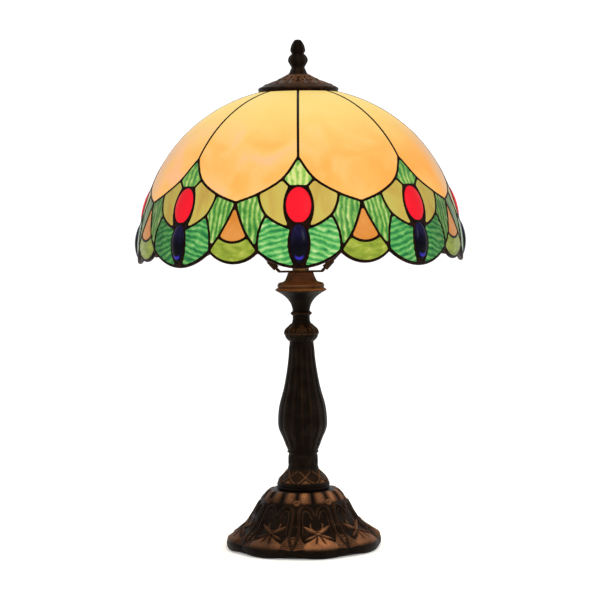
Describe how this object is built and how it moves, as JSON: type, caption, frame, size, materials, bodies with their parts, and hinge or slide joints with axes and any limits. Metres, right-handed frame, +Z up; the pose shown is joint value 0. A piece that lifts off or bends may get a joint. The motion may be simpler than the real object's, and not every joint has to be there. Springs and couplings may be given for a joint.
{
  "type": "table lamp",
  "caption": "Table lamp with a leaded stained glass dome shade on a cast baluster stand with a bell foot, with bulb, harp, cord, switch and plug.",
  "frame": {"origin": "on the lamp's axis, on the table under the felt pad", "axes": "+Z up along the lamp's axis, -Y the front, +Y the side where the mains cord leaves"},
  "size_m": [0.2996, 0.3864, 0.466],
  "materials": {
    "cast_bronze": "dark bronze casting, relief rubbed back to copper on its high points",
    "copper_bronze": "copper-brown lacquered bronze",
    "felt": "dark green felt",
    "plain_steel": "zinc plated",
    "iron": "rough cast",
    "brass": "aged brass",
    "nickel": "nickel plated",
    "fibre": "pressed fibre",
    "porcelain": "glazed porcelain",
    "black_glass": "black vitrite",
    "bulb_glass": "clear glass",
    "filament": "warm glowing filament",
    "peach_glass": "opalescent peach glass, lit from behind",
    "kite_glass": "mottled green and yellow glass",
    "olive_glass": "olive ring-mottle glass",
    "green_glass": "streaky rippled green glass",
    "amber_glass": "amber peach opalescent glass",
    "lime_glass": "lime green opalescent glass",
    "red_glass": "red domed jewel glass",
    "blue_glass": "deep cobalt jewel glass",
    "solder": "solder with black-brown patina",
    "cord_jacket": "brown flexible jacket",
    "black_rubber": "matte rubber",
    "switch_plastic": "dark brown moulded plastic",
    "rocker_plastic": "brown moulded plastic"
  },
  "bodies": {
    "stand": {"base_foot": "cast_bronze", "column_vase": "cast_bronze", "column_knop": "cast_bronze", "socket_cup": "cast_bronze", "cup_cover": "copper_bronze", "felt_pad": "felt", "bottom_plate": "plain_steel", "plate_screws": "plain_steel", "ballast_ring": "iron", "lamp_pipe": "plain_steel", "pipe_washer": "plain_steel", "pipe_nut": "brass", "harp_saddle": "copper_bronze", "saddle_nut": "brass", "harp_bow": "copper_bronze", "socket_cap": "brass", "socket_shell": "brass", "socket_liner": "fibre", "socket_insulator": "porcelain", "socket_screw_shell": "brass", "socket_contact": "brass", "terminal_screws": "brass", "lead_wires": "cord_jacket", "power_cord": "cord_jacket", "cord_grommet": "black_rubber", "switch_base": "switch_plastic", "switch_cover": "switch_plastic", "rocker_pin": "plain_steel", "switch_screws": "plain_steel", "plug_body": "switch_plastic", "plug_pins": "nickel"},
    "left_ferrule": {"left_ferrule": "copper_bronze"},
    "right_ferrule": {"right_ferrule": "copper_bronze"},
    "stud": {"harp_stud": "brass"},
    "shade": {"shade_lattice": "solder", "crown_ring": "solder", "crown_spider": "brass", "heat_cap": "cast_bronze", "peach_panels": "peach_glass", "green_kites": "kite_glass", "olive_wings": "olive_glass", "green_shoulders": "green_glass", "green_wings": "green_glass", "peach_darts": "amber_glass", "lime_scallops": "lime_glass", "red_ovals": "red_glass", "blue_ovals": "blue_glass"},
    "finial": {"finial": "cast_bronze"},
    "bulb": {"bulb_contact": "plain_steel", "bulb_insulator": "black_glass", "bulb_cap": "nickel", "bulb_glass": "bulb_glass", "bulb_stem": "bulb_glass", "bulb_filaments": "filament"},
    "rocker": {"switch_rocker": "rocker_plastic"}
  },
  "joints": [
    {"name": "shade_turn", "type": "hinge", "parent": "stand", "child": "stud", "pos_m": [0, 0, 0.414], "axis": [0, 0, 1], "continuous": true},
    {"name": "shade_lift", "type": "slide", "parent": "stud", "child": "shade", "axis": [0, 0, 1], "range_m": [0, 0.26]},
    {"name": "finial_turn", "type": "hinge", "parent": "shade", "child": "finial", "pos_m": [0, 0, 0.4347], "axis": [0, 0, 1], "continuous": true},
    {"name": "bulb_turn", "type": "hinge", "parent": "stand", "child": "bulb", "pos_m": [0, 0, 0.29], "axis": [0, 0, 1], "continuous": true},
    {"name": "left_ferrule_slide", "type": "slide", "parent": "stand", "child": "left_ferrule", "axis": [-0.682, 0, 0.7314], "range_m": [0, 0.01]},
    {"name": "right_ferrule_slide", "type": "slide", "parent": "stand", "child": "right_ferrule", "axis": [0.682, 0, 0.7314], "range_m": [0, 0.01]},
    {"name": "rocker_tilt", "type": "hinge", "parent": "stand", "child": "rocker", "pos_m": [0, 0.125, 0.0115], "axis": [1, 0, 0], "range_deg": [-8, 8]}
  ]
}
